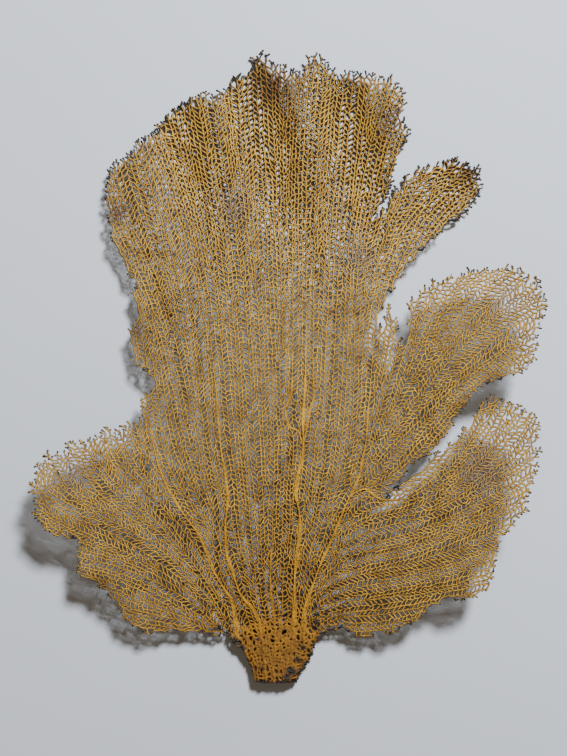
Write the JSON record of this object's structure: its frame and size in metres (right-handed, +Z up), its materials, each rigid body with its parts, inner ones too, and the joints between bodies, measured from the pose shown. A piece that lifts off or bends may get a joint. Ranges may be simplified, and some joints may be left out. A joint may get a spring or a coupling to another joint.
{
  "type": "sea fan",
  "caption": "Dried sea fan: a flat, net-like yellow horny coral with a short cut stem, lobed blades and dark free tips, lying on its back.",
  "frame": {"origin": "middle of the fan's box at the surface that it lies on", "axes": "+Y from the cut stem towards the crown, +X to the right seen from above, +Z up from the surface, across the fan's thickness"},
  "size_m": [0.3741, 0.468, 0.0381],
  "materials": {
    "net_crust": "dry, matt, horny ochre strands with brown shading and dark brown tips",
    "stem_crust": "dry, matt, orange-ochre fused strands with dark pits and black torn edges"
  },
  "bodies": {
    "root": {"holdfast": "stem_crust", "left_lobe": "net_crust", "left_blade": "net_crust", "centre_blade": "net_crust", "finger_blade": "net_crust", "middle_right_lobe": "net_crust", "lower_right_lobe": "net_crust"}
  },
  "joints": []
}
